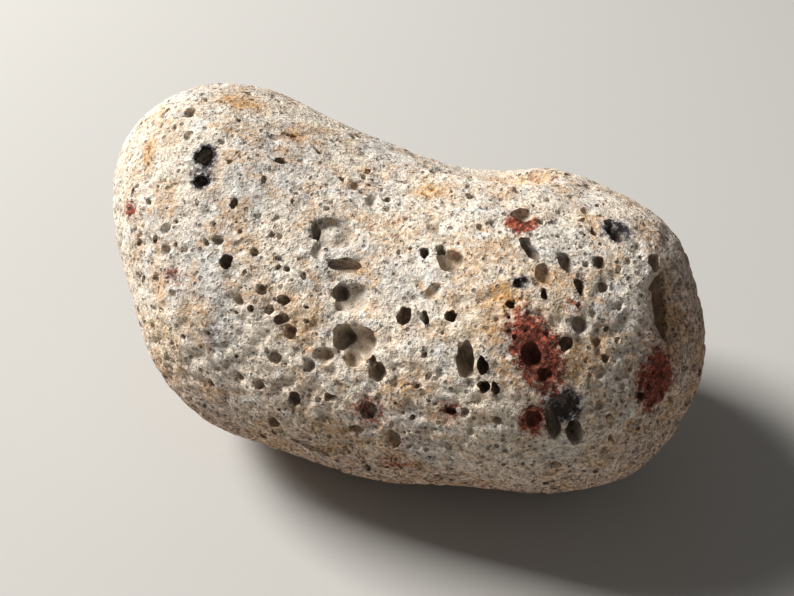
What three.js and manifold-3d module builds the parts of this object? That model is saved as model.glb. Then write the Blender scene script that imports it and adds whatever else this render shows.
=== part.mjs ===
// A pumice pebble: frothy volcanic rock, worn smooth by water, one solid piece with open gas bubbles.
// Millimetres, +Z up. X runs along the stone, and the origin is the middle of its underside.
import * as THREE from "three";
import { mergeVertices } from "three/addons/utils/BufferGeometryUtils.js";
import Module from "manifold-3d";

const wasm = await Module();
wasm.setup();

// ---- Driving dimensions of the worn body, in its own frame before it is centred ----
const LOBES = [
  { centre: [-30.5, 3, 35], half: [16, 16, 15.5] }, // raised left shoulder
  { centre: [-20, -2, 25], half: [18, 24, 20.5] }, // left belly
  { centre: [0, -1, 22.5], half: [26, 25.5, 22] }, // middle
  { centre: [20, 2, 27], half: [18.5, 24.5, 17.5] }, // right back
  { centre: [29.5, 1.5, 21.5], half: [13, 16.5, 16.5] }, // right end
];
const LOBE_BLEND = 13; // how widely neighbouring lobes melt into each other
const SHOULDER = { centre: [29, 6, 36.5], half: [8, 9, 6], blend: 5 }; // corner at the right of the top
// Worn away: each is an ellipsoid turned about the upright, then leaning back, in degrees.
const SCOOPS = [
  { centre: [4, 22.5, 48], half: [15, 14, 9.5], turn: 0, lean: 0, blend: 2 }, // the back of the top
  // the dip behind the top edge
  { centre: [9.4, 11.2, 46.2], half: [11.5, 5, 5.4], turn: 8, lean: 24, blend: 0.5 },
  // the trough down the right end
  { centre: [40.8, -2.2, 42.2], half: [6.4, 6.4, 9.4], turn: 20, lean: 42, blend: 0.5 },
];
const SWELL_HEIGHT = 0.3; // gentle unevenness left by the wear
const SWELL_LENGTHS = [4.1, 4.7, 4.4];
const REST_HEIGHT = 1.8; // level of the flat that the stone lies on

// ---- Meshing ----
const HEART = [0, 0, 25]; // a point inside from which all of the skin can be seen
const STRETCH = [1.7, 1, 0.95]; // spreads the skin's triangles evenly over the long body
const BODY_DETAIL = 14;
const HOLLOW_SEGMENTS = 10;
const HOLLOW_RINGS = 7;
const FARTHEST = 75; // beyond the skin in every direction
const HALVINGS = 26; // brings a point to the skin within a millionth of a millimetre
const SLOPE_STEP = 0.05;
const NEAR_ENOUGH = 0.01;
const STEP_SHARE = 0.6; // share of the measured gap that a step towards the skin may take
const WELD = 1e-4;
const UPRIGHT = new THREE.Vector3(0, 0, 1);
const ALONG = new THREE.Vector3(1, 0, 0);

// ---- Burst gas bubbles on the broad front face ----
// The face is looked at from VIEWPOINT_REACH off its middle, turned and raised by these angles.
const FACE_TURN = 22;
const FACE_RISE = 42;
const FACE_MIDDLE = [-0.5, 0, 25];
const VIEWPOINT_REACH = 133;
// Each is [across, up] on the plane through the middle, then width, height, depth and a turn in degrees.
const FRONT_HOLLOWS = [
  { at: [-29, 21.3], size: [2.8, 3.2], depth: 2.2, turn: 0 },
  { at: [-9.3, 9.9], size: [5.6, 4.8], depth: 1.3, turn: 0 },
  { at: [-7.8, 5], size: [4.8, 2], depth: 1.4, turn: -8 },
  { at: [-6.8, 0], size: [4.6, 3.8], depth: 2.2, turn: 10 },
  { at: [-6, -6.8], size: [5.4, 5], depth: 3.6, turn: -30 },
  { at: [-3.1, -11.1], size: [2.2, 2.7], depth: 2, turn: 0 },
  { at: [-11.1, -8.7], size: [2.6, 2.1], depth: 1.4, turn: 0 },
  { at: [-25.8, 5.5], size: [2, 1.9], depth: 1.8, turn: 0 },
  { at: [8, 5.7], size: [3.6, 3.9], depth: 2.3, turn: 0 },
  { at: [6, 10.8], size: [2.2, 2.4], depth: 1.2, turn: 0 },
  { at: [10.2, -9.3], size: [2.2, 4.5], depth: 2.6, turn: 8 },
  { at: [18.9, 12.6], size: [3, 2.6], depth: 1.6, turn: 0 },
  { at: [20.1, 7.3], size: [1.9, 4.2], depth: 2.4, turn: 28 },
  { at: [22.3, 3.5], size: [2.8, 2.6], depth: 1.8, turn: 20 },
  { at: [25.5, 5.4], size: [2, 3], depth: 1.9, turn: 10 },
  { at: [20.4, -8.6], size: [2.8, 3.6], depth: 2.6, turn: 25 },
  { at: [25.2, -18], size: [5.2, 5.8], depth: 3, turn: 20 },
  { at: [33, 10.2], size: [2.6, 3.4], depth: 2.4, turn: 30 },
  { at: [39.2, -1.4], size: [3.2, 9.6], depth: 2.8, turn: 5 },
  { at: [38.9, 5.4], size: [2.2, 2.4], depth: 1.4, turn: 0 },
  { at: [27.6, -4], size: [2.2, 2.4], depth: 1.6, turn: 0 },
  { at: [1, -2.7], size: [2, 2.4], depth: 1.7, turn: 0 },
  { at: [-0.6, -21.3], size: [2.2, 2.8], depth: 1.5, turn: 0 },
  { at: [-4.4, -17.1], size: [2.3, 2.8], depth: 1.6, turn: 0 },
];

// ---- Hollows of the same kind around the rest of the stone ----
const AROUND_COUNT = 40;
const AROUND_SMALLEST = 2.2;
const AROUND_SPREAD = 3.4; // the widest is this much wider than the smallest
const AROUND_DEPTH = 0.55; // of the width
const AROUND_FLATTEST = 0.75; // height for each millimetre of width
const AROUND_TALLEST = 1.25;
const SIZE_STEP = 0.618; // these two step through sizes and shapes, so that neighbours differ
const SHAPE_STEP = 0.382;
const TURN_STEP = 47;
const FRONT_CLEAR = 0.25; // a place that faces the viewpoint more squarely than this is the front face's
const REST_CLEAR = -0.55; // a place that faces down more squarely than this is the resting flat's
const GOLDEN_ANGLE = Math.PI * (3 - Math.sqrt(5));

// A smooth union of two distances, melting over the width k.
function melt(a, b, k) {
  const share = THREE.MathUtils.clamp(0.5 + (0.5 * (b - a)) / k, 0, 1);
  return b * (1 - share) + a * share - k * share * (1 - share);
}

// Roughly the distance from a place to an ellipsoid's skin, negative inside.
function ellipsoid(place, { centre, half, turn = 0, lean = 0 }) {
  const offset = place.clone().sub(new THREE.Vector3(...centre));
  offset.applyAxisAngle(UPRIGHT, -THREE.MathUtils.degToRad(turn));
  offset.applyAxisAngle(ALONG, THREE.MathUtils.degToRad(lean));
  let near = 0;
  let steep = 0;
  for (let axis = 0; axis < 3; axis++) {
    near += (offset.getComponent(axis) / half[axis]) ** 2;
    steep += (offset.getComponent(axis) / half[axis] ** 2) ** 2;
  }
  near = Math.sqrt(near);
  return (near * (near - 1)) / (Math.sqrt(steep) + 1e-9);
}

// Roughly the distance from a place to the worn body's skin, negative inside.
function bodyDistance(place) {
  const lobes = LOBES.map((lobe) => ellipsoid(place, lobe));
  const joined = lobes.reduce((a, b) => melt(a, b, LOBE_BLEND));
  const shouldered = melt(joined, ellipsoid(place, SHOULDER), SHOULDER.blend);
  const scooped = SCOOPS.reduce(
    (left, scoop) => -melt(-left, ellipsoid(place, scoop), scoop.blend),
    shouldered,
  );
  const [sx, sy, sz] = SWELL_LENGTHS.map((length, axis) =>
    Math.sin(place.getComponent(axis) / length + axis),
  );
  return scooped + SWELL_HEIGHT * sx * sy * sz;
}

// The skin's place along a ray from inside the body.
function skinFrom(start, direction) {
  let inside = 0;
  let outside = FARTHEST;
  for (let step = 0; step < HALVINGS; step++) {
    const reach = (inside + outside) / 2;
    const place = start.clone().addScaledVector(direction, reach);
    if (bodyDistance(place) < 0) inside = reach;
    else outside = reach;
  }
  return start.clone().addScaledVector(direction, inside);
}

// The way out of the skin at a place on it.
function outwards(place) {
  const slope = [0, 1, 2].map((axis) => {
    const ahead = place.clone().setComponent(axis, place.getComponent(axis) + SLOPE_STEP);
    const behind = place.clone().setComponent(axis, place.getComponent(axis) - SLOPE_STEP);
    return bodyDistance(ahead) - bodyDistance(behind);
  });
  return new THREE.Vector3(...slope).normalize();
}

// Welds a geometry into one closed surface that holds places only.
function welded(geometry) {
  geometry.deleteAttribute("normal");
  geometry.deleteAttribute("uv");
  return mergeVertices(geometry, WELD);
}

function solidOf(geometry) {
  const closed = welded(geometry);
  return new wasm.Manifold(
    new wasm.Mesh({
      numProp: 3,
      vertProperties: new Float32Array(closed.getAttribute("position").array),
      triVerts: new Uint32Array(closed.index.array),
    }),
  );
}

function geometryOf(solid) {
  const mesh = solid.getMesh();
  const geometry = new THREE.BufferGeometry();
  geometry.setAttribute("position", new THREE.BufferAttribute(mesh.vertProperties, mesh.numProp));
  geometry.setIndex(new THREE.BufferAttribute(mesh.triVerts, 1));
  return geometry;
}

// The worn body: an icosahedron's fine mesh, each point moved out from the heart to the skin.
function wornBody() {
  const geometry = welded(new THREE.IcosahedronGeometry(1, BODY_DETAIL));
  const points = geometry.getAttribute("position");
  const heart = new THREE.Vector3(...HEART);
  const stretch = new THREE.Vector3(...STRETCH);
  const direction = new THREE.Vector3();
  for (let i = 0; i < points.count; i++) {
    direction.fromBufferAttribute(points, i).multiply(stretch).normalize();
    const place = skinFrom(heart, direction);
    points.setXYZ(i, place.x, place.y, place.z);
  }
  return geometry;
}

// Everything above the resting flat.
function aboveTheFlat() {
  const side = 2 * FARTHEST;
  return new THREE.BoxGeometry(side, side, side).translate(0, 0, side / 2 + REST_HEIGHT);
}

// An ellipsoid sunk in the skin, so that it opens the wanted size and reaches the wanted depth.
function hollow(place, across, [width, height], depth, turn) {
  const out = outwards(place);
  const right = across.clone().addScaledVector(out, -across.dot(out)).normalize();
  const up = out.clone().cross(right);
  const shape = new THREE.SphereGeometry(1, HOLLOW_SEGMENTS, HOLLOW_RINGS);
  shape.scale(width / 2, height / 2, depth);
  shape.rotateZ(THREE.MathUtils.degToRad(turn));
  shape.applyMatrix4(new THREE.Matrix4().makeBasis(right, up, out).setPosition(place));
  return shape;
}

// The viewpoint of the front face, with its right and up.
function faceView() {
  const turn = THREE.MathUtils.degToRad(FACE_TURN);
  const rise = THREE.MathUtils.degToRad(FACE_RISE);
  const right = new THREE.Vector3(Math.cos(turn), Math.sin(turn), 0);
  const towards = new THREE.Vector3(
    Math.sin(turn) * Math.cos(rise),
    -Math.cos(turn) * Math.cos(rise),
    Math.sin(rise),
  );
  const up = towards.clone().cross(right);
  const middle = new THREE.Vector3(...FACE_MIDDLE);
  const eye = middle.clone().addScaledVector(towards, VIEWPOINT_REACH);
  return { right, up, towards, middle, eye };
}

// The nearest skin on the line from the viewpoint through a place on the face's plane.
function seenOnFace(view, [across, up]) {
  const through = view.middle.clone().addScaledVector(view.right, across).addScaledVector(view.up, up);
  const direction = through.clone().sub(view.eye).normalize();
  const place = view.eye.clone();
  let gap = bodyDistance(place);
  while (gap > NEAR_ENOUGH) {
    place.addScaledVector(direction, gap * STEP_SHARE);
    gap = bodyDistance(place);
  }
  return place;
}

function frontHollows() {
  const view = faceView();
  return FRONT_HOLLOWS.map(({ at, size, depth, turn }) =>
    hollow(seenOnFace(view, at), view.right, size, depth, turn),
  );
}

// Hollows spread by the golden angle, kept off the front face and the resting flat.
function aroundHollows() {
  const { towards, right } = faceView();
  const heart = new THREE.Vector3(...HEART);
  const made = [];
  for (let i = 0; i < AROUND_COUNT; i++) {
    const rise = 1 - (2 * (i + 0.5)) / AROUND_COUNT;
    const ring = Math.sqrt(1 - rise * rise);
    const angle = i * GOLDEN_ANGLE;
    const place = skinFrom(heart, new THREE.Vector3(ring * Math.cos(angle), ring * Math.sin(angle), rise));
    const out = outwards(place);
    if (out.dot(towards) > FRONT_CLEAR || out.z < REST_CLEAR) continue;
    const width = AROUND_SMALLEST + AROUND_SPREAD * ((i * SIZE_STEP) % 1) ** 3;
    const height = width * THREE.MathUtils.lerp(AROUND_FLATTEST, AROUND_TALLEST, (i * SHAPE_STEP) % 1);
    made.push(hollow(place, right, [width, height], width * AROUND_DEPTH, i * TURN_STEP));
  }
  return made;
}

function pumiceStone() {
  const hollows = [...frontHollows(), ...aroundHollows()].map(solidOf);
  const whole = solidOf(wornBody()).intersect(solidOf(aboveTheFlat()));
  const pitted = hollows.reduce((stone, cut) => stone.subtract(cut), whole);
  const geometry = geometryOf(pitted);
  geometry.computeBoundingBox();
  const { min, max } = geometry.boundingBox;
  geometry.translate(-(min.x + max.x) / 2, -(min.y + max.y) / 2, -min.z);
  geometry.computeVertexNormals();
  const pumice = new THREE.MeshStandardMaterial({ color: "#b9b0a0", roughness: 0.95, metalness: 0 });
  const mesh = new THREE.Mesh(geometry, pumice);
  mesh.name = "pumice_stone";
  return mesh;
}

const part = new THREE.Group();
part.add(pumiceStone());

export default part;
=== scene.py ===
"""A water-worn pumice pebble and its studio stage, laid out as an add-on with an operator for each."""

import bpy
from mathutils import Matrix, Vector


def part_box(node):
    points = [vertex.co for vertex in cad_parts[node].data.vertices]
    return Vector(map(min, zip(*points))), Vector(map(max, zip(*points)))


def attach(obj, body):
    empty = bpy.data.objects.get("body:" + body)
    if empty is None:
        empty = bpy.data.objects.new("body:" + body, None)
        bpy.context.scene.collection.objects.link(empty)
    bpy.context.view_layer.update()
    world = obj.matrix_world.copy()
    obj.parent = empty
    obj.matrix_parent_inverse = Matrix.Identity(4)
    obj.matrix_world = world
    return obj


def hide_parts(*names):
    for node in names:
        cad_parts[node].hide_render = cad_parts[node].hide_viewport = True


bl_info = {
    "name": "Pumice Pebble",
    "version": (1, 0, 0),
    "blender": (4, 5, 0),
    "location": "3D View > Sidebar > Pumice",
    "description": "Builds a water-worn pumice pebble with open gas bubbles, and a plain stage for it",
    "category": "Add Mesh",
}

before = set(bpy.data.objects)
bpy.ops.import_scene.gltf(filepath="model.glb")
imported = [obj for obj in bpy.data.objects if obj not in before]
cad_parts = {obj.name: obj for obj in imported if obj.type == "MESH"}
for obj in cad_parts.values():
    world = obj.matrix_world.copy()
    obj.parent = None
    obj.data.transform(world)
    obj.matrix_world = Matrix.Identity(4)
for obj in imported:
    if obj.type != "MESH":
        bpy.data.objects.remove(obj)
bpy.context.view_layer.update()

import math
import random
from functools import partial

import bmesh
import bpy
import numpy as np
from bpy.props import FloatProperty, FloatVectorProperty, IntProperty, PointerProperty
from mathutils import Matrix, Vector, noise
from mathutils.bvhtree import BVHTree

NODE = "pumice_stone"
MM = 0.001

# ---------------------------------------------------------------------------------------------------------
# The worn body, in millimetres and in its own frame, the same as the solid that it stands for.
# ---------------------------------------------------------------------------------------------------------
LOBES = (
    ((-30.5, 3.0, 35.0), (16.0, 16.0, 15.5)),  # raised left shoulder
    ((-20.0, -2.0, 25.0), (18.0, 24.0, 20.5)),  # left belly
    ((0.0, -1.0, 22.5), (26.0, 25.5, 22.0)),  # middle
    ((20.0, 2.0, 27.0), (18.5, 24.5, 17.5)),  # right back
    ((29.5, 1.5, 21.5), (13.0, 16.5, 16.5)),  # right end
)
LOBE_BLEND = 13.0
SHOULDER = ((29.0, 6.0, 36.5), (8.0, 9.0, 6.0))  # the corner at the right of the top
SHOULDER_BLEND = 5.0
# Worn away: centre, half sizes, turn about the upright and lean back in degrees, and the blend.
SCOOPS = (
    ((4.0, 22.5, 48.0), (15.0, 14.0, 9.5), 0, 0, 2.0),  # the back of the top
    ((9.4, 11.2, 46.2), (11.5, 5.0, 5.4), 8, 24, 0.5),  # dip behind the top edge
    ((40.8, -2.2, 42.2), (6.4, 6.4, 9.4), 20, 42, 0.5),  # trough down the right end
)
SWELL_HEIGHT = 0.3
SWELL_LENGTHS = (4.1, 4.7, 4.4)
REST_HEIGHT = 1.8
HEART = np.array((0.0, 0.0, 25.0))
STRETCH = np.array((1.7, 1.0, 0.95))
FARTHEST = 75.0
HALVINGS = 24
SLOPE_STEP = 0.05

# The broad porous face, seen from a point off its middle. Places on it are [across, up] on the plane there.
FACE_TURN = math.radians(22)
FACE_RISE = math.radians(42)
FACE_MIDDLE = np.array((-0.5, 0.0, 25.0))
VIEWPOINT_REACH = 133.0
MARCH_STEPS = 160
MARCH_STRIDE = 0.6  # share of the distance found that one step goes
TINY = 1e-9  # keeps a division from failing at an ellipsoid's very middle


def melt(a, b, width):
    """A smooth union of two distances, melting over that width."""
    share = np.clip(0.5 + 0.5 * (b - a) / width, 0.0, 1.0)
    return b * (1.0 - share) + a * share - width * share * (1.0 - share)


def ellipsoid(places, centre, half, turn=0, lean=0):
    """Roughly the distance from each place to an ellipsoid's skin, negative inside."""
    half = np.array(half)
    unturned = Matrix.Rotation(math.radians(lean), 3, "X") @ Matrix.Rotation(-math.radians(turn), 3, "Z")
    offset = (places - np.array(centre)) @ np.array(unturned).T
    near = np.linalg.norm(offset / half, axis=1)
    steep = np.linalg.norm(offset / half**2, axis=1)
    return near * (near - 1.0) / (steep + TINY)


def body_distance(places):
    """Roughly the distance from each place to the worn body's skin, negative inside."""
    found = ellipsoid(places, *LOBES[0])
    for lobe in LOBES[1:]:
        found = melt(found, ellipsoid(places, *lobe), LOBE_BLEND)
    found = melt(found, ellipsoid(places, *SHOULDER), SHOULDER_BLEND)
    for *scoop, blend in SCOOPS:
        found = -melt(-found, ellipsoid(places, *scoop), blend)
    sx, sy, sz = (np.sin(places[:, i] / SWELL_LENGTHS[i] + i) for i in range(3))
    return found + SWELL_HEIGHT * sx * sy * sz


def skin_from(start, directions):
    """The skin's places along rays from inside the body."""
    inside = np.zeros(len(directions))
    outside = np.full(len(directions), FARTHEST)
    for _ in range(HALVINGS):
        reach = (inside + outside) / 2
        within = body_distance(start + directions * reach[:, None]) < 0
        inside = np.where(within, reach, inside)
        outside = np.where(within, outside, reach)
    return start + directions * inside[:, None]


def outwards(places):
    """The way out of the skin at each place."""
    slope = [
        body_distance(places + step) - body_distance(places - step)
        for step in np.eye(3) * SLOPE_STEP
    ]
    slope = np.stack(slope, axis=1)
    return slope / np.linalg.norm(slope, axis=1, keepdims=True)


def face_view():
    """(right, up, towards, eye) of the broad face's viewpoint."""
    right = np.array((math.cos(FACE_TURN), math.sin(FACE_TURN), 0.0))
    level = math.cos(FACE_RISE)
    towards = np.array((math.sin(FACE_TURN) * level, -math.cos(FACE_TURN) * level, math.sin(FACE_RISE)))
    up = np.cross(towards, right)
    return right, up, towards, FACE_MIDDLE + towards * VIEWPOINT_REACH


def on_face(spots):
    """The skin's nearest places on the lines from the viewpoint through these (across, up) spots."""
    right, up, _, eye = face_view()
    spots = np.array(spots, dtype=float)
    through = FACE_MIDDLE + spots[:, :1] * right + spots[:, 1:] * up
    directions = through - eye
    directions /= np.linalg.norm(directions, axis=1, keepdims=True)
    places = np.repeat(eye[None], len(spots), axis=0)
    for _ in range(MARCH_STEPS):
        places = places + directions * np.maximum(body_distance(places), 0.0)[:, None] * MARCH_STRIDE
    return places


# ---------------------------------------------------------------------------------------------------------
# Burst gas bubbles. Sizes are in millimetres, turns in degrees, anticlockwise as seen from outside.
# ---------------------------------------------------------------------------------------------------------
# The broad face's own: (across, up), (width, height), depth, turn, sunk, domed. Sunk is how far below the
# skin the bubble's middle lies, as a share of its depth radius: above 0 it is undercut, below 0 a shallow
# dish. Domed is the share of the depth that swells back up in the middle of its floor.
FRONT_HOLLOWS = (
    ((-29.0, 21.5), (2.7, 3.2), 2.4, 0, 0.30, 0.0),
    ((-29.5, 17.5), (2.0, 1.9), 1.2, 0, 0.00, 0.0),
    ((-17.5, 20.7), (1.7, 1.2), 1.1, -20, 0.20, 0.0),
    ((-15.7, 24.5), (1.5, 1.2), 0.9, 0, 0.20, 0.0),
    ((-11.7, 22.0), (1.0, 1.6), 1.0, 35, 0.20, 0.0),
    ((-18.3, 24.1), (2.1, 1.2), 0.5, -10, -0.40, 0.0),
    ((-9.3, 23.4), (2.0, 1.3), 0.5, -20, -0.40, 0.0),
    ((-9.3, 9.9), (5.7, 5.0), 1.7, 0, -0.10, 0.75),
    ((-12.2, 10.3), (1.3, 3.0), 1.8, 5, 0.10, 0.0),
    ((-12.0, 7.2), (2.0, 2.5), 0.8, 0, -0.20, 0.0),
    ((-7.8, 5.0), (4.7, 2.0), 1.5, -8, 0.15, 0.0),
    ((-3.7, 14.9), (1.8, 2.5), 0.9, -10, 0.00, 0.0),
    ((-1.5, 14.9), (1.0, 1.1), 0.9, 0, 0.30, 0.0),
    ((-6.8, 0.0), (4.6, 4.1), 1.5, 10, -0.20, 0.0),
    ((-8.5, 0.9), (2.3, 2.6), 2.0, 0, 0.00, 0.0),
    ((-5.9, -6.8), (5.2, 5.0), 2.3, -30, -0.10, 0.0),
    ((-8.1, -5.9), (3.2, 3.6), 3.0, 0, 0.00, 0.0),
    ((-6.7, -9.3), (2.7, 2.2), 2.0, 0, 0.10, 0.0),
    ((-3.1, -11.1), (2.2, 2.7), 2.4, 0, 0.25, 0.0),
    ((-3.8, -9.5), (1.4, 1.5), 1.8, 0, 0.20, 0.0),
    ((-11.1, -8.7), (2.7, 2.2), 1.2, 0, -0.10, 0.0),
    ((-25.8, 5.5), (2.0, 1.9), 2.0, 0, 0.35, 0.0),
    ((-26.9, 8.7), (1.6, 1.2), 0.8, -10, 0.00, 0.0),
    ((-24.5, 14.2), (1.2, 1.5), 1.0, 0, 0.20, 0.0),
    ((-21.4, 6.9), (1.0, 1.1), 0.9, 0, 0.20, 0.0),
    ((-20.3, 1.2), (1.3, 1.3), 1.0, 0, 0.10, 0.0),
    ((-17.1, -0.3), (1.7, 1.5), 1.2, 0, 0.10, 0.0),
    ((-19.3, -1.8), (1.4, 1.3), 1.0, 0, 0.10, 0.0),
    ((-17.5, -3.2), (2.2, 1.4), 1.2, 15, 0.20, 0.0),
    ((-16.1, -5.1), (1.6, 1.9), 1.3, 0, 0.10, 0.0),
    ((-22.0, -1.6), (1.0, 1.0), 0.8, 0, 0.10, 0.0),
    ((-18.3, -9.0), (1.9, 1.8), 1.0, 0, 0.00, 0.0),
    ((1.0, -2.7), (1.8, 2.4), 1.9, -15, 0.30, 0.0),
    ((4.2, -3.0), (1.0, 1.8), 1.4, 10, 0.20, 0.0),
    ((8.1, -2.7), (1.5, 1.4), 1.6, 0, 0.30, 0.0),
    ((8.0, 5.7), (3.5, 3.8), 2.1, 0, 0.05, 0.0),
    ((6.6, 7.4), (1.3, 1.2), 1.3, 0, 0.10, 0.0),
    ((4.1, 6.9), (1.2, 1.6), 1.2, 0, 0.20, 0.0),
    ((5.9, 10.8), (2.2, 2.5), 0.9, 0, -0.30, 0.0),
    ((10.2, -9.3), (2.2, 4.4), 2.8, 6, 0.30, 0.0),
    ((12.9, -10.2), (1.3, 2.4), 2.2, 4, 0.30, 0.0),
    ((13.1, -13.4), (1.6, 1.5), 1.8, 0, 0.20, 0.0),
    ((14.8, -13.7), (1.0, 1.8), 1.3, 20, 0.20, 0.0),
    ((20.1, 7.5), (1.8, 4.0), 2.6, 26, 0.30, 0.0),
    ((22.2, 3.7), (2.4, 2.9), 1.5, 20, 0.00, 0.0),
    ((18.9, 12.6), (3.0, 2.5), 1.4, 0, 0.10, 0.0),
    ((25.5, 5.4), (2.0, 3.1), 2.0, 15, 0.20, 0.0),
    ((27.5, 1.7), (1.4, 2.4), 1.6, 12, 0.20, 0.0),
    ((30.5, 5.4), (1.6, 2.0), 1.4, 0, 0.20, 0.0),
    ((18.5, 2.3), (1.8, 1.3), 1.0, 0, 0.10, 0.0),
    ((22.2, 0.6), (0.9, 1.6), 1.2, 0, 0.20, 0.0),
    ((17.0, -0.9), (1.3, 1.1), 1.3, 0, 0.30, 0.0),
    ((25.5, -6.8), (1.8, 1.8), 1.7, 0, 0.35, 0.0),
    ((27.6, -4.0), (2.2, 2.4), 1.4, 0, 0.00, 0.0),
    ((20.4, -8.6), (2.4, 3.2), 2.2, 25, 0.20, 0.0),
    ((22.4, -11.6), (1.6, 1.9), 1.4, 20, 0.10, 0.0),
    ((24.9, -16.6), (4.6, 3.6), 2.2, 15, -0.05, 0.0),
    ((23.7, -19.4), (1.9, 4.0), 2.7, 14, 0.15, 0.0),
    ((26.8, -20.2), (2.1, 4.0), 3.0, 12, 0.20, 0.0),
    ((20.6, -18.3), (2.1, 2.3), 1.4, 0, 0.10, 0.0),
    ((33.2, 9.8), (2.8, 3.0), 2.2, 30, 0.20, 0.0),
    ((32.0, 11.3), (1.7, 1.7), 1.6, 0, 0.20, 0.0),
    ((29.7, 10.0), (0.9, 1.9), 1.1, 10, 0.20, 0.0),
    ((39.2, -1.4), (3.2, 9.6), 4.4, 5, 0.35, 0.0),
    ((38.9, 5.4), (2.2, 2.4), 1.7, 0, 0.25, 0.0),
    ((41.3, -18.3), (1.6, 2.6), 1.0, -20, 0.00, 0.0),
    ((8.0, -17.1), (1.7, 1.4), 1.1, 0, 0.10, 0.0),
    ((-4.4, -17.1), (2.3, 2.8), 1.5, 0, 0.10, 0.0),
    ((-15.5, -15.3), (1.7, 2.2), 1.6, 0, 0.20, 0.0),
    ((-10.1, -15.0), (1.8, 1.4), 1.0, 0, 0.00, 0.0),
    ((-6.3, -19.8), (2.4, 1.5), 1.1, 10, 0.10, 0.0),
    ((-0.6, -21.3), (2.2, 3.0), 1.5, 0, 0.00, 0.0),
    ((-13.0, -22.5), (6.0, 1.6), 1.1, -18, 0.00, 0.0),
)

# The same larger hollows around the rest of the stone as the solid has.
AROUND_COUNT = 40
AROUND_SMALLEST = 2.2
AROUND_SPREAD = 3.4
AROUND_DEPTH = 0.55
AROUND_FLATTEST = 0.75
AROUND_TALLEST = 1.25
SIZE_STEP = 0.618
SHAPE_STEP = 0.382
TURN_STEP = 47
FRONT_CLEAR = 0.25
REST_CLEAR = -0.55
GOLDEN_ANGLE = math.pi * (3 - math.sqrt(5))

# Finer pores, scattered everywhere: the narrowest and widest opening of each kind, and how they differ.
WIDE_PORES = (1.0, 1.9)
SMALL_PORES = (0.6, 1.0)
FINE_PORES = (0.4, 0.6)
PORE_SEED = 11
DENSE_PATCHES = 4.0  # patches of denser froth to a radian round the stone
DENSE_SPREAD = 0.5  # blurs the edges of those patches
DENSE_LEVEL = -0.2  # below this the froth is too dense for pores
CLOSED_TOP = 0.5  # raises that level on top and lowers it below
NARROW_SHARE = 1.5  # above 1, more of a kind are narrow ones
PORE_TALLNESS = (0.8, 1.45)
PORE_TURN = (-50, 50)
PORE_DEPTH = (0.4, 1.0)
PORE_SUNK = (-0.35, 0.4)
PORE_GAP = 0.3  # least stone between two pores, as a share of the new one's width
PORE_REACH = 0.8  # share of a pore's reach that later ones keep clear of
PORE_RIGHT = (1, 0.3, 0)  # the side that every pore's width points to, more or less

CHUNK = 40  # bubbles added to one bmesh at a time, because a fuller one takes them more slowly
RIM_ROUGHNESS = 0.34  # share of the radius by which a wall goes in and out
WIDE = 1.9  # bubbles from this width up have smoother walls
WIDE_ROUGHNESS = 0.26
WALL_BUMPS = 1.4  # how many bumps of a wall there are to its radius
WALL_UNLIKE = 3.1  # sets each bubble's bumps apart from its neighbours'
DOME_SPREAD = 0.3


class Hollow:
    """One bubble: the skin's place over it, its own right, up and out, and its radii below the skin."""

    def __init__(self, place, out, right, size, depth, turn=0.0, sunk=0.2, domed=0.0):
        right = right - out * right.dot(out)
        right.normalize()
        spin = Matrix.Rotation(math.radians(turn), 3, out)
        self.right = spin @ right
        self.out = out
        self.up = out.cross(self.right)
        opening = math.sqrt(1.0 - sunk * sunk)
        self.roughness = RIM_ROUGHNESS if max(size) < WIDE else WIDE_ROUGHNESS
        self.radii = (size[0] / 2 / opening, size[1] / 2 / opening, depth / (1.0 + sunk))
        self.middle = place - out * (self.radii[2] * sunk)
        self.domed = domed
        self.reach = max(self.radii) * (1.0 + self.roughness)

    def place(self, unit, bulge):
        """Where a point of the unit sphere goes, its radius changed by that bulge."""
        x, y, z = unit
        if self.domed and z < 0:
            z *= 1.0 - self.domed * math.exp(-(x * x + y * y) / DOME_SPREAD)
        a, b, c = self.radii
        return self.middle + (self.right * (x * a) + self.up * (y * b) + self.out * (z * c)) * bulge


def front_hollows():
    """The broad face's bubbles."""
    right = Vector(face_view()[0])
    places = on_face([h[0] for h in FRONT_HOLLOWS])
    outs = outwards(places)
    return [
        Hollow(Vector(place), Vector(out), right, size, depth, turn, sunk, domed)
        for place, out, (_, size, depth, turn, sunk, domed) in zip(places, outs, FRONT_HOLLOWS)
    ]


def around_hollows():
    """The larger bubbles around the rest of the stone, spread by the golden angle."""
    view_right, _, towards, _ = face_view()
    made = []
    for i in range(AROUND_COUNT):
        rise = 1 - 2 * (i + 0.5) / AROUND_COUNT
        ring = math.sqrt(1 - rise * rise)
        angle = i * GOLDEN_ANGLE
        direction = np.array(((ring * math.cos(angle), ring * math.sin(angle), rise),))
        place = skin_from(HEART, direction)
        out = outwards(place)
        if out[0] @ towards > FRONT_CLEAR or out[0][2] < REST_CLEAR:
            continue
        width = AROUND_SMALLEST + AROUND_SPREAD * ((i * SIZE_STEP) % 1) ** 3
        tallness = (i * SHAPE_STEP) % 1
        height = width * (AROUND_FLATTEST + (AROUND_TALLEST - AROUND_FLATTEST) * tallness)
        hollow = Hollow(
            Vector(place[0]),
            Vector(out[0]),
            Vector(view_right),
            (width, height),
            width * AROUND_DEPTH,
            i * TURN_STEP,
            0.0,
        )
        made.append(hollow)
    return made


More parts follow.
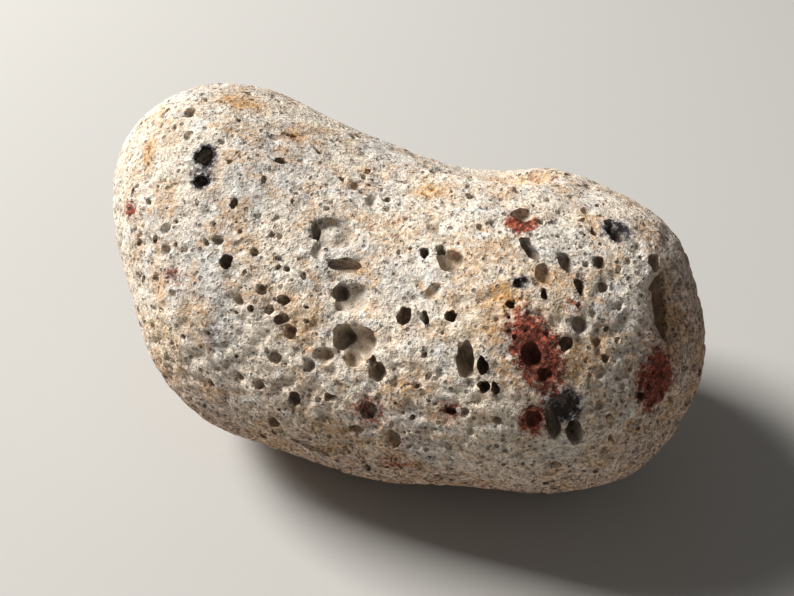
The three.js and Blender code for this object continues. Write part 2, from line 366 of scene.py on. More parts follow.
def scattered_pores(rng, count, widths, taken):
    """Random pores, clear of the larger ones in taken, and fewer on top and where the froth was denser."""
    directions = []
    while len(directions) < count:
        direction = np.array([rng.gauss(0, 1) for _ in range(3)]) * STRETCH
        direction /= np.linalg.norm(direction)
        open_froth = noise.noise(Vector(direction) * DENSE_PATCHES) + rng.uniform(-DENSE_SPREAD, DENSE_SPREAD)
        if open_froth > DENSE_LEVEL + CLOSED_TOP * direction[2]:
            directions.append(direction)
    places = skin_from(HEART, np.array(directions))
    outs = outwards(places)
    narrowest, widest = widths
    known = np.array([tuple(h.middle) for h in taken]).reshape(-1, 3)
    known_reach = np.array([h.reach for h in taken])
    made = []
    for place, out in zip(places, outs):
        width = narrowest * (widest / narrowest) ** (rng.random() ** NARROW_SHARE)
        size = (width, width * rng.uniform(*PORE_TALLNESS))
        turn = rng.uniform(*PORE_TURN)
        depth = width * rng.uniform(*PORE_DEPTH)
        sunk = rng.uniform(*PORE_SUNK)
        gaps = np.linalg.norm(known - place, axis=1) - known_reach
        if gaps.min() < width * PORE_GAP:
            continue
        hollow = Hollow(Vector(place), Vector(out), Vector(PORE_RIGHT), size, depth, turn, sunk)
        made.append(hollow)
        known = np.vstack((known, place))
        known_reach = np.append(known_reach, hollow.reach * PORE_REACH)
    return made


def apart(hollows):
    """The hollows in groups whose members don't touch each other, so that each group is one clean cutter."""
    groups = []
    for hollow in hollows:
        middle = np.array(hollow.middle)
        for group in groups:
            gaps = np.linalg.norm(np.array(group["middles"]) - middle, axis=1)
            if (gaps > np.array(group["reaches"]) + hollow.reach).all():
                break
        else:
            group = {"middles": [], "reaches": [], "members": []}
            groups.append(group)
        group["middles"].append(middle)
        group["reaches"].append(hollow.reach)
        group["members"].append(hollow)
    return [group["members"] for group in groups]


def cutter(members, fineness):
    """One mesh of bubbles with uneven walls."""
    whole = bmesh.new()
    for start in range(0, len(members), CHUNK):
        chunk = bmesh.new()
        for hollow in members[start : start + CHUNK]:
            ball = bmesh.ops.create_icosphere(chunk, subdivisions=fineness, radius=1.0)
            own = hollow.middle * WALL_UNLIKE
            for v in ball["verts"]:
                bulge = 1.0 + hollow.roughness * noise.noise(v.co * WALL_BUMPS + own)
                v.co = hollow.place(v.co, bulge)
        held = bpy.data.meshes.new("chunk")
        chunk.to_mesh(held)
        chunk.free()
        whole.from_mesh(held)
        bpy.data.meshes.remove(held)
    made = bpy.data.meshes.new("cutter")
    whole.to_mesh(made)
    whole.free()
    return made


# ---------------------------------------------------------------------------------------------------------
# The stone's mesh
# ---------------------------------------------------------------------------------------------------------
def link(name, data):
    """A new object of that mesh, lamp or camera in the scene."""
    made = bpy.data.objects.new(name, data)
    bpy.context.scene.collection.objects.link(made)
    return made


def applied(piece):
    """Replaces a piece's mesh by what its modifiers make of it."""
    now = bpy.context.evaluated_depsgraph_get()
    made = bpy.data.meshes.new_from_object(piece.evaluated_get(now), depsgraph=now)
    old = piece.data
    piece.modifiers.clear()
    piece.data = made
    bpy.data.meshes.remove(old)


def places_of(mesh):
    """A mesh's points as rows of numbers."""
    found = np.empty(len(mesh.vertices) * 3)
    mesh.vertices.foreach_get("co", found)
    return found.reshape(-1, 3)


DENT = 3.1  # millimetres from dent to dent of the skin's relief
LUMP = 1.5
GRIT = 0.75
GRIT_SHARE = 0.7
LUMP_SHARES = (0.9, 0.5)  # strength of the lumps on top, and what the roughest wear adds to it
DENT_SHARES = (0.4, 0.7)
ROUGH_BELOW = 38.0  # from this height down to the next the wear grows rougher
ROUGHEST_BELOW = 14.0
WORN_TOP = 0.05  # lumps higher than this are rubbed down, so that recesses are sharper than rises
WORN_SHARE = 0.25


def worn_skin(fineness, relief):
    """The closed body with its uneven worn relief, and the flat that it lies on."""
    ball = bmesh.new()
    bmesh.ops.create_icosphere(ball, subdivisions=fineness, radius=1.0)
    mesh = bpy.data.meshes.new(NODE)
    ball.to_mesh(mesh)
    ball.free()
    directions = places_of(mesh) * STRETCH
    directions /= np.linalg.norm(directions, axis=1, keepdims=True)
    places = skin_from(HEART, directions)
    rough = np.clip((ROUGH_BELOW - places[:, 2]) / (ROUGH_BELOW - ROUGHEST_BELOW), 0.0, 1.0)
    dents, lumps, grit = (
        np.array([noise.noise(Vector(place) / size) for place in places]) for size in (DENT, LUMP, GRIT)
    )
    lumps = (lumps + GRIT_SHARE * grit) * (LUMP_SHARES[0] + LUMP_SHARES[1] * rough)
    lumps = lumps + dents * (DENT_SHARES[0] + DENT_SHARES[1] * rough)
    worn = np.minimum(lumps, WORN_TOP + WORN_SHARE * (lumps - WORN_TOP))
    places = places + outwards(places) * ((worn - WORN_TOP) * relief)[:, None]
    places[:, 2] = np.maximum(places[:, 2], REST_HEIGHT)
    mesh.vertices.foreach_set("co", places.ravel())
    mesh.update()
    return mesh


def cut_hollows(piece, hollows, fineness):
    """Cuts all the hollows out of a piece."""
    cutters = []
    for members in apart(hollows):
        tool = link("cutter", cutter(members, fineness))
        cut = piece.modifiers.new("bubbles", "BOOLEAN")
        cut.operation = "DIFFERENCE"
        cut.solver = "MANIFOLD"
        cut.object = tool
        cutters.append(tool)
    applied(piece)
    for tool in cutters:
        mesh = tool.data
        bpy.data.objects.remove(tool)
        bpy.data.meshes.remove(mesh)


def thin_out(piece, triangles):
    """Collapses the flattest places until that many triangles are left."""
    piece.data.calc_loop_triangles()
    fewer = piece.modifiers.new("thin", "DECIMATE")
    fewer.ratio = min(1.0, triangles / len(piece.data.loop_triangles))
    fewer.use_collapse_triangulate = True
    applied(piece)


RUB_STRENGTH = 0.5
RUB_ROUNDS = 2


def rub_down(piece):
    """Rounds off the rims that the cuts left."""
    rub = piece.modifiers.new("rub", "SMOOTH")
    rub.factor = RUB_STRENGTH
    rub.iterations = RUB_ROUNDS
    applied(piece)


def drop_chips(mesh):
    """Removes chips that the cuts left loose from the stone, and fins that stand on it by one edge."""
    work = bmesh.new()
    work.from_mesh(mesh)
    left = set(work.verts)
    largest = set()
    while left:
        start = left.pop()
        found = {start}
        edge = [start]
        while edge:
            for e in edge.pop().link_edges:
                for v in e.verts:
                    if v in left:
                        left.discard(v)
                        found.add(v)
                        edge.append(v)
        if len(found) > len(largest):
            largest = found
    chips = [v for v in work.verts if v not in largest]
    bmesh.ops.delete(work, geom=chips, context="VERTS")
    fins = [f for f in work.faces if any(e.is_boundary for e in f.edges)]
    bmesh.ops.delete(work, geom=fins, context="FACES")
    work.to_mesh(mesh)
    work.free()


HEM_REACH = 2.5  # millimetres within which the stone hides the sky
HEM_RAYS = 14
HEM_START = 0.03  # millimetres off the skin, so that a ray doesn't meet the face it leaves


# How closed in each point is; this sets the painted shade, with lodged dirt, in the stone's colour.
def hemmed_in(mesh):
    """The share of the way out over each point that the stone blocks: near 1 deep in a narrow pore."""
    work = bmesh.new()
    work.from_mesh(mesh)
    tree = BVHTree.FromBMesh(work)
    rays = []
    for i in range(HEM_RAYS):
        rise = math.sqrt((i + 0.5) / HEM_RAYS)
        ring = math.sqrt(1.0 - rise * rise)
        angle = i * GOLDEN_ANGLE
        rays.append(Vector((ring * math.cos(angle), ring * math.sin(angle), rise)))
    found = np.zeros(len(work.verts))
    for v in work.verts:
        basis = v.normal.to_track_quat("Z", "Y").to_matrix()
        start = v.co + v.normal * HEM_START
        blocked = sum(tree.ray_cast(start, basis @ ray, HEM_REACH)[0] is not None for ray in rays)
        found[v.index] = blocked / HEM_RAYS
    work.free()
    return found


# ---------------------------------------------------------------------------------------------------------
# Stains: (across, up), (half width, half height) in millimetres, turn in degrees, strength.
# ---------------------------------------------------------------------------------------------------------
RUST_RED = (
    ((20.9, -8.0), (2.9, 5.4), 24, 1.0),
    ((39.2, -12.4), (3.0, 4.0), -14, 1.0),
    ((18.7, 11.4), (2.1, 1.9), 0, 1.0),
    ((-40.3, 13.3), (1.2, 1.3), 0, 0.9),
    ((20.6, -18.3), (1.8, 2.1), 0, 0.9),
    ((-4.4, -17.1), (2.2, 2.6), 0, 0.5),
    ((8.0, -17.1), (1.9, 1.7), 0, 0.5),
    ((-0.3, -25.0), (2.4, 1.4), 0, 0.45),
    ((-33.8, 3.4), (1.4, 1.2), 0, 0.6),
    ((26.6, -1.0), (1.3, 1.0), 0, 0.5),
)
DEEP_RUST = (
    ((20.7, -8.8), (2.0, 3.3), 24, 1.0),
    ((39.4, -13.2), (2.0, 2.9), -14, 0.9),
    ((20.6, -18.3), (1.3, 1.5), 0, 0.8),
    ((-4.4, -17.1), (1.6, 1.9), 0, 0.9),
    ((8.0, -17.1), (1.4, 1.2), 0, 0.9),
    ((-33.8, 3.4), (1.0, 0.9), 0, 0.8),
)
OCHRE = (
    ((-23.5, 29.6), (4.2, 1.9), -8, 0.9),
    ((-37.3, 21.9), (1.2, 2.9), 0, 1.0),
    ((16.2, 0.2), (2.7, 2.6), 0, 1.0),
    ((5.0, 16.2), (2.3, 1.9), 0, 1.0),
    ((-4.8, 19.2), (1.0, 1.0), 0, 0.9),
    ((6.2, -17.6), (2.0, 1.4), 0, 0.7),
    ((-15.7, 24.5), (1.9, 1.5), 0, 0.9),
    ((22.4, 3.0), (1.8, 1.9), 0, 0.8),
    ((-6.0, 4.6), (1.6, 1.0), 0, 0.6),
    ((-13.6, -4.4), (2.6, 3.0), 0, 0.5),
    ((29.5, -8.0), (2.2, 2.6), 0, 0.6),
    ((-36.0, 2.0), (1.8, 3.4), 0, 0.5),
    ((-10.0, -19.6), (3.4, 1.8), 0, 0.5),
    ((17.5, 17.6), (7.0, 1.3), -6, 0.6),
    ((21.1, -8.2), (4.8, 7.0), 24, 0.6),
    ((39.6, -1.0), (2.6, 7.0), 8, 0.45),
    ((27.0, -9.6), (3.0, 3.4), 0, 0.7),
    ((14.4, -4.6), (3.0, 2.2), 0, 0.6),
    ((2.6, -13.0), (3.0, 2.6), 0, 0.5),
    ((-30.6, -3.4), (2.6, 3.6), 0, 0.5),
    ((30.2, 11.4), (3.4, 1.8), -20, 0.6),
)
CHAR = (
    ((-29.0, 21.3), (1.9, 2.3), 0, 1.0),
    ((-29.2, 19.2), (2.2, 2.6), 0, 0.55),
    ((-29.5, 17.7), (1.5, 1.4), 0, 1.0),
    ((-27.6, -5.6), (1.3, 2.2), 0, 0.5),
    ((33.0, 10.2), (2.0, 2.1), 30, 1.0),
    ((18.6, 2.4), (1.2, 0.9), 0, 0.9),
    ((24.9, -16.3), (2.8, 2.4), 0, 1.0),
    ((21.0, -8.9), (1.0, 1.7), 24, 0.6),
    ((-21.5, 6.4), (0.6, 0.6), 0, 0.5),
)
# Around the rest of the stone: how many of each kind are tried, and their smallest and largest half widths.
AROUND_STAINS = (
    ("rust", RUST_RED, 6, 0.9, 2.6),
    ("deep_rust", DEEP_RUST, 4, 0.8, 1.6),
    ("ochre", OCHRE, 34, 1.0, 3.6),
    ("char", CHAR, 12, 0.7, 1.7),
)
STAIN_SEED = 29
STAIN_SHAPES = (0.6, 1.6)
STAIN_STRENGTHS = (0.4, 1.0)
STAIN_END = 1.5  # where a stain has faded out, in half sizes from its middle
STAIN_FADE = 1.1
STAIN_SOAK = 1.4  # how far it soaks in, as a share of its larger half size


def stain(places, centre, out, right, half, turn, strength):
    """How strongly one soft-edged oval stain shows at each place."""
    right = right - out * (right @ out)
    right /= np.linalg.norm(right)
    up = np.cross(out, right)
    turn = math.radians(turn)
    along = right * math.cos(turn) + up * math.sin(turn)
    over = up * math.cos(turn) - right * math.sin(turn)
    offset = places - centre
    axes = ((along, half[0]), (over, half[1]), (out, STAIN_SOAK * max(half)))
    spread = np.sqrt(sum((offset @ axis / size) ** 2 for axis, size in axes))
    share = np.clip((STAIN_END - spread) / STAIN_FADE, 0.0, 1.0)
    return strength * share * share * (3.0 - 2.0 * share)


def stains(places):
    """The strength of each kind of stain at each place, by name."""
    right, _, towards, _ = face_view()
    rng = random.Random(STAIN_SEED)
    found = {}
    for name, own, count, smallest, largest in AROUND_STAINS:
        total = np.zeros(len(places))
        centres = on_face([s[0] for s in own])
        outs = outwards(centres)
        for centre, out, (_, half, turn, strength) in zip(centres, outs, own):
            total = np.maximum(total, stain(places, centre, out, right, half, turn, strength))
        for _ in range(count):
            direction = np.array([[rng.gauss(0, 1) for _ in range(3)]]) * STRETCH
            direction /= np.linalg.norm(direction)
            size = rng.uniform(smallest, largest)
            shape = rng.uniform(*STAIN_SHAPES)
            strength = rng.uniform(*STAIN_STRENGTHS)
            centre = skin_from(HEART, direction)
            out = outwards(centre)[0]
            if out @ towards < FRONT_CLEAR:
                spot = stain(places, centre[0], out, right, (size, size * shape), 0, strength)
                total = np.maximum(total, spot)
        found[name] = total
    return found


def write_points(mesh, name, values):
    """Keeps one number for each point of a mesh."""
    held = mesh.attributes.new(name, "FLOAT", "POINT")
    held.data.foreach_set("value", values.astype(np.float32))


# ---------------------------------------------------------------------------------------------------------
# Materials
# ---------------------------------------------------------------------------------------------------------
def linear(code):
    """An sRGB hex colour as linear red, green and blue."""
    parts = [int(code[i : i + 2], 16) / 255 for i in (1, 3, 5)]
    return tuple(p / 12.92 if p <= 0.04045 else ((p + 0.055) / 1.055) ** 2.4 for p in parts)


def rgba(colour):
    """A property's colour with full cover."""
    return (*colour, 1.0)


def node(tree, kind, inputs=(), out=0, **settings):
    """Adds a node with its settings, sets or links its inputs, by name or in order, and gives an output."""
    made = tree.nodes.new("ShaderNode" + kind)
    for name, value in settings.items():
        setattr(made, name, value)
    for name, value in inputs.items() if isinstance(inputs, dict) else enumerate(inputs):
        if isinstance(value, bpy.types.NodeSocket):
            tree.links.new(value, made.inputs[name])
        else:
            made.inputs[name].default_value = value
    return made.outputs[out] if made.outputs else None


PLUS, LESS, TIMES, LARGER = ({"operation": name} for name in ("ADD", "SUBTRACT", "MULTIPLY", "MAXIMUM"))
EASED = {"interpolation_type": "SMOOTHSTEP"}  # a Map Range node takes (value, low, high, start, end)
TINTS = {"data_type": "RGBA", "out": 2}  # a Mix node for colours, and its sockets
FACTOR, FIRST, SECOND = 0, 6, 7


def water_worn_pumice(look):
    """Pumice, frothed by gas and worn by water: matt pale glassy grains, dark open cells and iron stains."""
    material = bpy.data.materials.new("water-worn pumice")
    material.use_nodes = True
    tree = material.node_tree
    tree.nodes.clear()
    add = partial(node, tree)
    mm = add("VectorMath", (add("TexCoord", out="Object"), (1 / MM,) * 3), **TIMES)
    held = {
        name: add("Attribute", out="Fac", attribute_name=name)
        for name in ("depth", "hemmed", "rust", "deep_rust", "ochre", "char")
    }

    # The patterns' widths in millimetres, and their detail, roughness and distortion.
    patterns = {
        "patches": (11.0, 3.0, 0.5, 0.0),
        "drift": (9.0, 3.0, 0.5, 0.0),
        "clouds": (5.5, 4.0, 0.65, 0.5),
        "bleach": (3.2, 4.0, 0.7, 0.0),
        "flecks": (1.9, 3.0, 0.6, 0.0),
        "walls": (1.6, 3.0, 0.5, 0.0),
        "breaks": (0.75, 3.0, 0.7, 0.0),
        "rust": (0.6, 3.0, 0.8, 0.0),
        "coarse": (look.grain * 2.6, 3.0, 0.65, 0.0),
        "gaps": (look.grain * 1.5, 2.0, 0.6, 0.0),
        "grain": (look.grain, 3.0, 0.72, 0.0),
    }
    seen = {}
    for name, (width, detail, roughness, distortion) in patterns.items():
        values = {"Vector": mm, "Scale": 1 / width, "Detail": detail, "Roughness": roughness}
        seen[name] = add("TexNoise", {**values, "Distortion": distortion})
    grain, coarse = seen["grain"], seen["coarse"]

    # Broad tone: browner and darker below and towards the thin end, with paler patches elsewhere.
    cooler = add("MapRange", (seen["patches"], 0.40, 0.62), **EASED)
    colour = add("Mix", {FACTOR: cooler, FIRST: rgba(look.cream), SECOND: rgba(look.grey)}, **TINTS)
    along = add("SeparateXYZ", (mm,))
    upright = along.node.outputs["Z"]
    drift = add("Math", (add("Math", (seen["drift"], 0.5), **LESS), 26.0), **TIMES)
    low = add("MapRange", (add("Math", (upright, drift), **PLUS), 34.0, 10.0), **EASED)
    thin_end = add("MapRange", (add("Math", (along, drift), **PLUS), 30.0, 44.0, 0.0, 0.9), **EASED)
    browner_parts = add("Math", (low, thin_end), **LARGER)

    # Iron in the froth: ochre clouds a few millimetres wide and umber flecks, broken up by the grain.
    broken = add("MapRange", (seen["breaks"], 0.38, 0.60), **EASED)
    clouds = add("MapRange", (seen["clouds"], 0.44, 0.62), **EASED)
    clouds = add("Math", (clouds, add("MapRange", (broken, 0.0, 1.0, 0.3, 1.0), **EASED)), **TIMES)
    flecks = add("MapRange", (seen["flecks"], 0.56, 0.70), **EASED)
    flecks = add("Math", (flecks, broken), **TIMES)
    bleached = add("MapRange", (seen["bleach"], 0.56, 0.68), **EASED)
    bleached = add("Math", (bleached, add("Math", (1.0, browner_parts), **LESS)), **TIMES)
    for share, strength, tint in (
        (browner_parts, look.browner_strength, look.browner_tone),
        (clouds, look.ochre_clouds, look.ochre),
        (flecks, look.ochre_clouds * 0.7, look.umber),
        (bleached, 0.6, look.ash),
    ):
        share = add("Math", (share, strength), **TIMES)
        colour = add("Mix", {FACTOR: share, FIRST: colour, SECOND: rgba(tint)}, **TINTS)

    # Stained places: ochre, dark crusts with slaty edges, and rust, darker where it is deep.
    ochre = add("MapRange", (broken, 0.0, 1.0, 0.45, 1.0), **EASED)
    ochre = add("Math", (held["ochre"], ochre), **TIMES)
    ochre_tone = add("Mix", {FACTOR: flecks, FIRST: rgba(look.ochre), SECOND: rgba(look.umber)}, **TINTS)
    char = add("MapRange", (broken, 0.0, 0.8, 0.55, 1.0), **EASED)
    char = add("Math", (held["char"], char), **TIMES)
    thick = add("MapRange", (char, 0.25, 0.65), **EASED)
    crust_tone = add("Mix", {FACTOR: thick, FIRST: rgba(look.slate), SECOND: rgba(look.char)}, **TINTS)
    crust = add("MapRange", (char, 0.08, 0.7), **EASED)
    red = add("Math", (held["rust"], add("Math", (broken, 0.50), **TIMES)), **PLUS)
    red = add("MapRange", (red, 0.38, 1.0), **EASED)
    deep = add("MapRange", (seen["rust"], 0.62, 0.40), **EASED)
    deep = add("Math", (held["deep_rust"], deep), **TIMES)
    darker = add("MapRange", (seen["rust"], 0.64, 0.40), **EASED)
    red_tone = add("Mix", {FACTOR: darker, FIRST: rgba(look.rust), SECOND: rgba(look.rust_dark)}, **TINTS)
    darkest = add("Math", (held["deep_rust"], 0.55), **TIMES)
    red_tone = add("Mix", {FACTOR: darkest, FIRST: red_tone, SECOND: rgba(look.rust_dark)}, **TINTS)
    rusty = add("Math", (red, deep), **LARGER)
    for share, tone in ((ochre, ochre_tone), (crust, crust_tone), (rusty, red_tone)):
        colour = add("Mix", {FACTOR: share, FIRST: colour, SECOND: tone}, **TINTS)

    # Bubble walls are smoother, greyer and a little darker than the worn skin, the more so the deeper they
    # lie: partly their own glassy colour, partly painted shade in the hollows.
    inside = add("MapRange", (held["depth"], 0.35, 1.2), **EASED)
    dirty = add("MapRange", (seen["walls"], 0.35, 0.65), **EASED)
    wall = add("Mix", {FACTOR: dirty, FIRST: rgba(look.wall), SECOND: rgba(look.wall_dark)}, **TINTS)
    stained = add("Math", (red, add("Math", (char, ochre), **LARGER)), **LARGER)
    clean = add("Math", (1.0, add("Math", (stained, 0.8), **TIMES)), **LESS)
    bare_wall = add("Math", (add("Math", (inside, clean), **TIMES), 0.7), **TIMES)
    colour = add("Mix", {FACTOR: bare_wall, FIRST: colour, SECOND: wall}, **TINTS)
    skin = add("Math", (1.0, add("Math", (inside, 0.6), **TIMES)), **LESS)

    # Broken froth: glassy grains of about 0.4 mm, paler where they stand out and darker between them, from
    # the same noise as the bump: partly the grains' own tone, partly painted shade in the bump's dips. The
    # contrast is made starker in the browner parts, as painted relief shading where the light reaches them
    # less.
    paler = add("MapRange", (grain, 0.30, 0.70, 0.62, 1.30), **EASED)
    paler = add("Math", (paler, add("MapRange", (coarse, 0.34, 0.62, 0.87, 1.10), **EASED)), **TIMES)
    starker = add("Math", (add("Math", (browner_parts, 0.9), **TIMES), 1.0), **PLUS)
    starker = add("Math", (skin, starker), **TIMES)
    value = add("Math", (add("Math", (paler, 1.0), **LESS), starker), **TIMES)
    value = add("Math", (value, 1.0), **PLUS)
    colour = add("Mix", {FACTOR: 1.0, FIRST: colour, SECOND: value}, blend_type="MULTIPLY", **TINTS)

    # Open cells too small to be cut: round ones, each of its own width, and ragged gaps in the froth.
    distance = add("TexVoronoi", {"Vector": mm, "Scale": 1 / look.pit})
    chance = add("SeparateColor", (distance.node.outputs["Color"],), out=1)
    width = add("MapRange", (chance, 0.35, 1.0, 0.0, 0.30), **EASED)
    uneven = add("Math", (add("Math", (grain, 0.5), **LESS), 0.35), **TIMES)
    nearness = add("Math", (add("Math", (width, uneven), **PLUS), distance), **LESS)
    cell = add("Math", (add("MapRange", (nearness, -0.04, 0.08), **EASED), skin), **TIMES)
    gap = add("Math", (add("MapRange", (seen["gaps"], 0.40, 0.31), **EASED), skin), **TIMES)

    # Painted shade: the small cells and gaps that the bump draws, and the places where the stone closes in on
    # itself, are darkened towards the pore colour; in those closed-in places it also stands for dirt lodged
    # there.
    silt_and_painted_shade = add("MapRange", (held["hemmed"], 0.38, 0.95, 0.0, look.silt_and_painted_shade), **EASED)
    for share, strength in ((cell, 0.70), (gap, 0.60), (silt_and_painted_shade, 1.0)):
        share = add("Math", (share, strength), **TIMES)
        colour = add("Mix", {FACTOR: share, FIRST: colour, SECOND: rgba(look.pore)}, **TINTS)

    # The bump's height in millimetres.
    height = add("Math", (grain, add("Math", (skin, 0.36), **TIMES)), **TIMES)
    for part, amount in ((coarse, 0.36), (cell, -0.30), (gap, -0.22)):
        height = add("Math", (height, add("Math", (part, amount), **TIMES)), **PLUS)
    bump = add("Bump", {"Height": height, "Distance": MM, "Strength": 1.0})
    finish = {"Base Color": colour, "Roughness": 0.93, "IOR": 1.5, "Normal": bump}
    add("OutputMaterial", {"Surface": add("BsdfPrincipled", finish)})
    return material


def plain_paper(colour):
    """Matt paper: an even pale ground that gives soft shadows and no shine."""
    material = bpy.data.materials.new("matt paper")
    material.use_nodes = True
    shader = material.node_tree.nodes["Principled BSDF"]
    shader.inputs["Base Color"].default_value = rgba(colour)
    shader.inputs["Roughness"].default_value = 0.9
    shader.inputs["Specular IOR Level"].default_value = 0.2
    return material


# ---------------------------------------------------------------------------------------------------------
# Settings
# ---------------------------------------------------------------------------------------------------------
def colour_property(name, description, code):
    """A colour setting."""
    return FloatVectorProperty(
        name=name, description=description, subtype="COLOR", size=3, min=0.0, max=1.0, default=linear(code)
    )


class PUMICE_PG_shape(bpy.types.PropertyGroup):
    """Sizes of the stone's surface."""

    relief: FloatProperty(name="Relief", description="Depth of the uneven wear, in mm", default=0.55, min=0)
    wide_pores: IntProperty(name="Wide pores", description="Tried, of 1 to 1.9 mm", default=650, min=0)
    small_pores: IntProperty(name="Small pores", description="Tried, of 0.6 to 1 mm", default=2200, min=0)
    fine_pores: IntProperty(name="Fine pores", description="Tried, of 0.4 to 0.6 mm", default=2400, min=0)
    fineness: IntProperty(name="Fineness", description="Halvings of the first icosahedron", default=8, min=4)
    triangles: IntProperty(name="Triangles", description="Most triangles kept", default=192000, min=99)


class PUMICE_PG_look(bpy.types.PropertyGroup):
    """Colours and grain of the stone."""

    cream: colour_property("Cream", "Weathered skin, warmer", "#e4d6c2")
    grey: colour_property("Grey", "Weathered skin, cooler", "#d0c9be")
    ash: colour_property("Ash", "Weathered skin, bleached", "#e9e9e4")
    browner_tone: colour_property("Browner_tone", "Skin below and at the thin end, browner", "#bf9a83")
    # The wall colours are mixed in the more, the deeper a wall lies: partly the walls' own colour, partly
    # painted shade.
    wall: colour_property("Wall", "Walls of the larger bubbles", "#b8a68f")
    wall_dark: colour_property("Dark wall", "Walls of the larger bubbles, dirtier", "#87725f")
    # Painted shade, with lodged dirt: the dark that the small cells, the gaps and the closed-in places are
    # mixed towards.
    pore: colour_property("Pore", "Depths of the finest cells", "#3f2e26")
    ochre: colour_property("Ochre", "Iron stain, yellow", "#cb9a5c")
    umber: colour_property("Umber", "Iron stain, brown", "#9a6542")
    rust: colour_property("Rust", "Iron stain, red", "#bd6042")
    rust_dark: colour_property("Dark rust", "Iron stain, red and deep", "#5a2418")
    char: colour_property("Char", "Dark mineral crusts", "#26282f")
    slate: colour_property("Slate", "Thin edges of the dark crusts", "#8f939c")
    browner_strength: FloatProperty(
        name="Browner_strength", description="Strength of the browner skin", default=0.7, min=0, max=1
    )
    ochre_clouds: FloatProperty(
        name="Ochre clouds", description="Strength of the faint ochre", default=0.62, min=0, max=1
    )
    # Strength of the painted shade, with lodged dirt, in the closed-in places.
    silt_and_painted_shade: FloatProperty(name="Silt_and_painted_shade", description="Darkness of the silt in pores", default=0.9, min=0, max=1)
    grain: FloatProperty(name="Grain", description="Width of a grain, in mm", default=0.45, min=0.1)
    pit: FloatProperty(name="Pits", description="From open cell to open cell, in mm", default=1.1, min=0.2)


class PUMICE_PG_stage(bpy.types.PropertyGroup):
    """Floor, lights and camera."""

    floor: colour_property("Floor", "Pale paper under the stone", "#b4b1ab")
    floor_size: FloatProperty(name="Floor size", description="Side of the floor", default=3, unit="LENGTH")
    key: FloatProperty(name="Key light", description="The large soft light", default=24.0, unit="POWER")
    fill: FloatProperty(name="Fill light", description="The weak light in front", default=0.25, unit="POWER")
    sky: FloatProperty(name="Sky", description="Strength of the even light all round", default=0.12, min=0)


# ---------------------------------------------------------------------------------------------------------
# Operators
# ---------------------------------------------------------------------------------------------------------
BOX_FINENESS = 6


def body_shift():
    """The move, in millimetres, that puts the worn body where the solid's box is."""
    ball = bmesh.new()
    bmesh.ops.create_icosphere(ball, subdivisions=BOX_FINENESS, radius=1.0)
    directions = np.array([v.co for v in ball.verts]) * STRETCH
    ball.free()
    directions /= np.linalg.norm(directions, axis=1, keepdims=True)
    places = skin_from(HEART, directions)
    low, high = (np.array(corner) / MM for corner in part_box(NODE))
    move = (low + high - places.min(axis=0) - places.max(axis=0)) / 2
    move[2] = low[2] - REST_HEIGHT
    return Vector(move)


LARGE_CUT, SMALL_CUT, FINE_CUT = 4, 2, 1  # fineness of the bubbles that are cut out
SHARPEST = math.radians(75)


class PUMICE_OT_stone(bpy.types.Operator):
    """Build the pumice pebble: the worn body, its open bubbles and pores, and its stained, grainy finish"""

    bl_idname = "pumice.stone"
    bl_label = "Pumice stone"

    def execute(self, context):
        shape = context.scene.pumice_shape
        rng = random.Random(PORE_SEED)
        stone = link(NODE + "_surface", worn_skin(shape.fineness - (0), shape.relief))
        large = front_hollows() + around_hollows()
        wide = scattered_pores(rng, shape.wide_pores, WIDE_PORES, large)
        small = scattered_pores(rng, shape.small_pores, SMALL_PORES, large + wide)
        fine = []
        fine = scattered_pores(rng, shape.fine_pores, FINE_PORES, large + wide + small)
        cut_hollows(stone, large, LARGE_CUT)
        cut_hollows(stone, wide + small, SMALL_CUT)
        cut_hollows(stone, fine, FINE_CUT)
        rub_down(stone)
        thin_out(stone, shape.triangles)
        drop_chips(stone.data)
        places = places_of(stone.data)
        write_points(stone.data, "depth", -body_distance(places))
        write_points(stone.data, "hemmed", hemmed_in(stone.data))
        for name, values in stains(places).items():
            write_points(stone.data, name, values)
        stone.data.transform(Matrix.Scale(MM, 4) @ Matrix.Translation(body_shift()))
        stone.data.shade_smooth()
        stone.data.set_sharp_from_angle(angle=SHARPEST)
        stone.data.materials.clear()  # the cuts left an empty slot
        stone.data.materials.append(water_worn_pumice(context.scene.pumice_look))
        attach(stone, "root")
        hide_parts(NODE)
        return {"FINISHED"}


FLOOR_CLEARANCE = 0.0002
LENS = 40.1
NEAREST_SEEN = 0.005
KEY_SIZE = 0.40
KEY_REACH = 1.1
KEY_SIDE = (-0.66, 0.70, 0.24)  # along the view's right, up and towards
FILL_SIZE = 0.6
FILL_REACH = 0.8
FILL_SIDE = (0.5, 0.15, 0.9)


def toward(direction):
    """The turn of a lamp or camera, which look along their own -Z, that makes it look in that direction."""
    return Vector(direction).to_track_quat("-Z", "Y").to_euler()


def soft_light(name, side, reach, size, power, aim):
    """A square area light at that side of the view, turned to the aim."""
    right, up, towards, _ = face_view()
    away = Vector(right * side[0] + up * side[1] + towards * side[2]).normalized()
    lamp = bpy.data.lights.new(name, "AREA")
    lamp.size = size
    lamp.energy = power
    made = link(name, lamp)
    made.location = aim + away * reach
    made.rotation_euler = toward(-away)
    return made


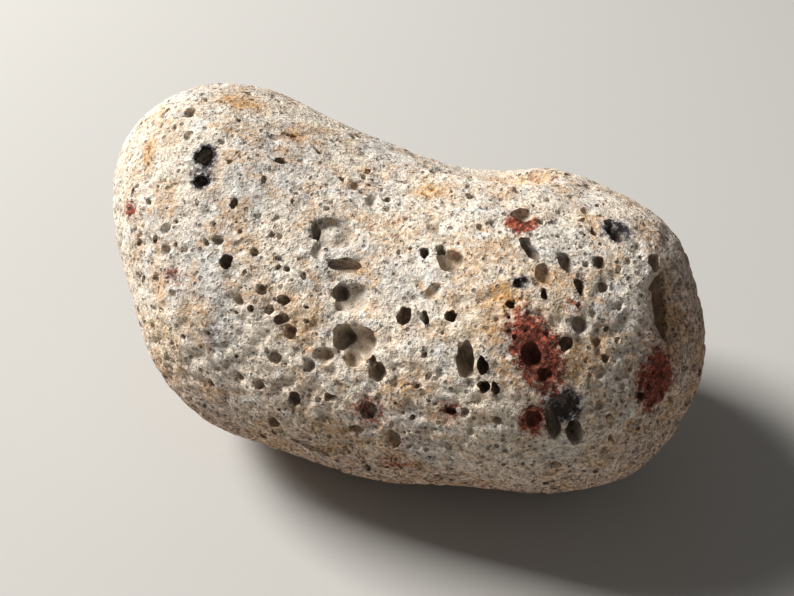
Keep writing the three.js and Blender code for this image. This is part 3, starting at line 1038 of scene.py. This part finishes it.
class PUMICE_OT_stage(bpy.types.Operator):
    """Build the plain stage: a pale floor, a large soft light, a weak fill and the camera"""

    bl_idname = "pumice.stage"
    bl_label = "Stage"

    def execute(self, context):
        stage = context.scene.pumice_stage
        sheet = bmesh.new()
        bmesh.ops.create_grid(sheet, x_segments=1, y_segments=1, size=stage.floor_size / 2)
        mesh = bpy.data.meshes.new("floor")
        sheet.to_mesh(mesh)
        sheet.free()
        mesh.transform(Matrix.Translation((0, 0, -FLOOR_CLEARANCE)))
        mesh.materials.append(plain_paper(stage.floor))
        floor = link("floor", mesh)

        aim = (Vector(FACE_MIDDLE) + body_shift()) * MM
        soft_light("key", KEY_SIDE, KEY_REACH, KEY_SIZE, stage.key, aim)
        soft_light("fill", FILL_SIDE, FILL_REACH, FILL_SIZE, stage.fill, aim)
        world = bpy.data.worlds.new("studio")
        world.use_nodes = True
        world.node_tree.nodes["Background"].inputs["Color"].default_value = (1, 1, 1, 1)
        world.node_tree.nodes["Background"].inputs["Strength"].default_value = stage.sky
        context.scene.world = world

        towards = Vector(face_view()[2])
        lens = bpy.data.cameras.new("camera")
        lens.lens = LENS
        lens.clip_start = NEAREST_SEEN
        camera = link("camera", lens)
        camera.location = aim + towards * (VIEWPOINT_REACH * MM)
        camera.rotation_euler = toward(-towards)
        context.scene.camera = camera
        context.scene.view_settings.view_transform = "Standard"
        return {"FINISHED"}


PANEL_PARTS = {"pumice.stone": ("pumice_shape", "pumice_look"), "pumice.stage": ("pumice_stage",)}


class PUMICE_PT_panel(bpy.types.Panel):
    """Lists the stone, its settings and the stage"""

    bl_idname = "PUMICE_PT_panel"
    bl_label = "Pumice"
    bl_space_type = "VIEW_3D"
    bl_region_type = "UI"
    bl_category = "Pumice"

    def draw(self, context):
        layout = self.layout
        for operator, groups in PANEL_PARTS.items():
            box = layout.box()
            for group in groups:
                settings = getattr(context.scene, group)
                for name in settings.__annotations__:
                    box.prop(settings, name)
            box.operator(operator)


GROUPS = {"pumice_shape": PUMICE_PG_shape, "pumice_look": PUMICE_PG_look, "pumice_stage": PUMICE_PG_stage}
CLASSES = (*GROUPS.values(), PUMICE_OT_stone, PUMICE_OT_stage, PUMICE_PT_panel)


def register():
    for cls in CLASSES:
        bpy.utils.register_class(cls)
    for name, group in GROUPS.items():
        setattr(bpy.types.Scene, name, PointerProperty(type=group))


def unregister():
    for name in GROUPS:
        delattr(bpy.types.Scene, name)
    for cls in reversed(CLASSES):
        bpy.utils.unregister_class(cls)


def main():
    register()
    bpy.ops.pumice.stage()
    bpy.ops.pumice.stone()


if __name__ == "__main__":
    main()
